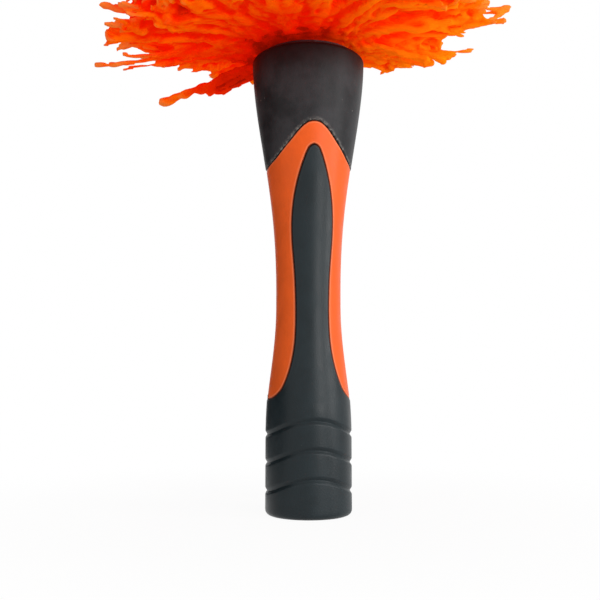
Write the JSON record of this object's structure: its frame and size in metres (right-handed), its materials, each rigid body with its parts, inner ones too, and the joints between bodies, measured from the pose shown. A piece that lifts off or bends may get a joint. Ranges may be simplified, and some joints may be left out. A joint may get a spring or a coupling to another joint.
{
  "type": "microfiber duster",
  "caption": "Hand duster: hourglass soft-grip handle with grooved base and flared collar, and a round head of soft fibre strands that unscrews for washing.",
  "frame": {"origin": "centre of the handle's flat bottom face", "axes": "+Z along the handle towards the strand head; -Y is the front, where one of the two long grip spines runs up the handle (the other is on +Y); +X is to the right of the front view"},
  "size_m": [0.1823, 0.1831, 0.4083],
  "materials": {
    "orange_plastic": "moulded polypropylene, satin",
    "charcoal_soft_grip": "soft-touch overmoulded elastomer, matt",
    "black_plastic": "moulded, satin",
    "washer_rubber": "moulded silicone",
    "tube_aluminium": "drawn tube",
    "zinc_steel": "zinc plated",
    "orange_microfibre": "felted microfibre strands on a sewn backing"
  },
  "bodies": {
    "handle": {"handle_core": "orange_plastic", "collar_grip": "charcoal_soft_grip", "lower_grip": "charcoal_soft_grip", "end_cap": "charcoal_soft_grip", "threaded_socket": "black_plastic"},
    "washer": {"thrust_washer": "washer_rubber"},
    "head": {"head_plug": "black_plastic", "core_tube": "tube_aluminium", "tube_pin": "zinc_steel", "strand_ring_1": "orange_microfibre", "strand_ring_2": "orange_microfibre", "strand_ring_3": "orange_microfibre", "strand_ring_4": "orange_microfibre", "strand_ring_5": "orange_microfibre", "strand_ring_6": "orange_microfibre", "strand_ring_7": "orange_microfibre", "crown_tuft": "orange_microfibre", "top_plug": "black_plastic", "clamp_washer": "zinc_steel", "clamp_screw": "zinc_steel"}
  },
  "joints": [
    {"name": "screw_rise", "type": "slide", "parent": "handle", "child": "washer", "axis": [0, 0, 1], "range_m": [0, 0.015]},
    {"name": "screw_turn", "type": "hinge", "parent": "washer", "child": "head", "pos_m": [0, 0, 0.1893], "axis": [0, 0, 1], "range_deg": [0, 1080]}
  ],
  "couplings": [
    {"joint": "screw_rise", "follows": "screw_turn", "m_per_rad": 0.00079577}
  ]
}
